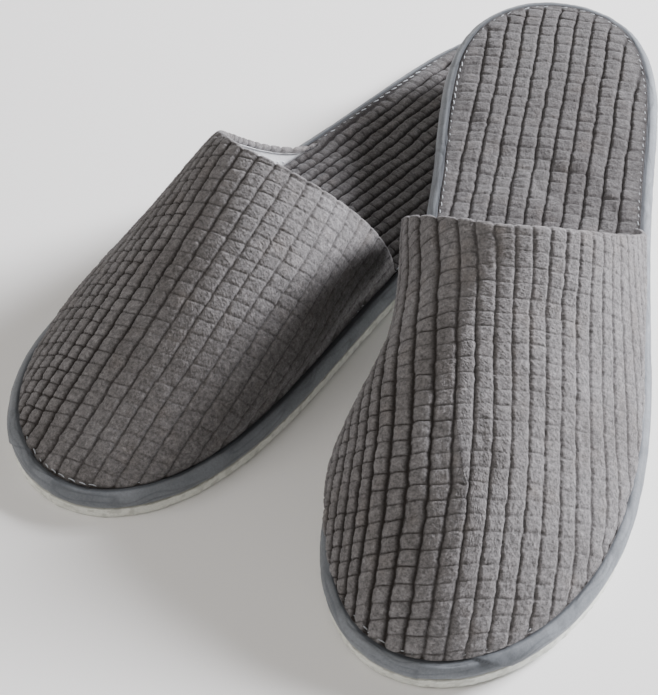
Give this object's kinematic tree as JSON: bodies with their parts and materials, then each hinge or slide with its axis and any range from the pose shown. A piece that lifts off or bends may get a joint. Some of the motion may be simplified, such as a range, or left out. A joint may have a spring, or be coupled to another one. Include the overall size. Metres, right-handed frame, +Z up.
{
  "type": "spa slippers",
  "caption": "Pair of closed-toe spa slippers in ribbed waffle fleece with bound edges and foam soles, the left heel resting across the right one.",
  "frame": {"origin": "on the floor, under the middle of the pair's bounding box", "axes": "+Z up from the floor, +Y from the toes towards the heels, +X towards the wearer's left slipper"},
  "size_m": [0.1948, 0.2997, 0.0765],
  "materials": {
    "waffle_fleece": "matte ribbed waffle fleece, warm grey",
    "binding_tape": "woven tape, blue grey, slight sheen",
    "eva_foam": "matte foam, pale olive white",
    "lining": "white non-woven",
    "sponge": "open-cell sponge",
    "insole_board": "matte pressed board",
    "thread": "polyester thread"
  },
  "bodies": {
    "right_slipper": {"right_outsole": "eva_foam", "right_insole_board": "insole_board", "right_insole_foam": "sponge", "right_insole_cover": "waffle_fleece", "right_edge_binding": "binding_tape", "right_binding_stitching": "thread", "right_upper_shell": "waffle_fleece", "right_upper_padding": "sponge", "right_upper_lining": "lining", "right_topline_stitching": "thread"},
    "left_slipper": {"left_outsole": "eva_foam", "left_insole_board": "insole_board", "left_insole_foam": "sponge", "left_insole_cover": "waffle_fleece", "left_edge_binding": "binding_tape", "left_binding_stitching": "thread", "left_upper_shell": "waffle_fleece", "left_upper_padding": "sponge", "left_upper_lining": "lining", "left_topline_stitching": "thread"}
  },
  "joints": [
    {"name": "left_slipper_lift", "type": "slide", "parent": "right_slipper", "child": "left_slipper", "axis": [0, 0, 1], "range_m": [0, 0.12]}
  ]
}
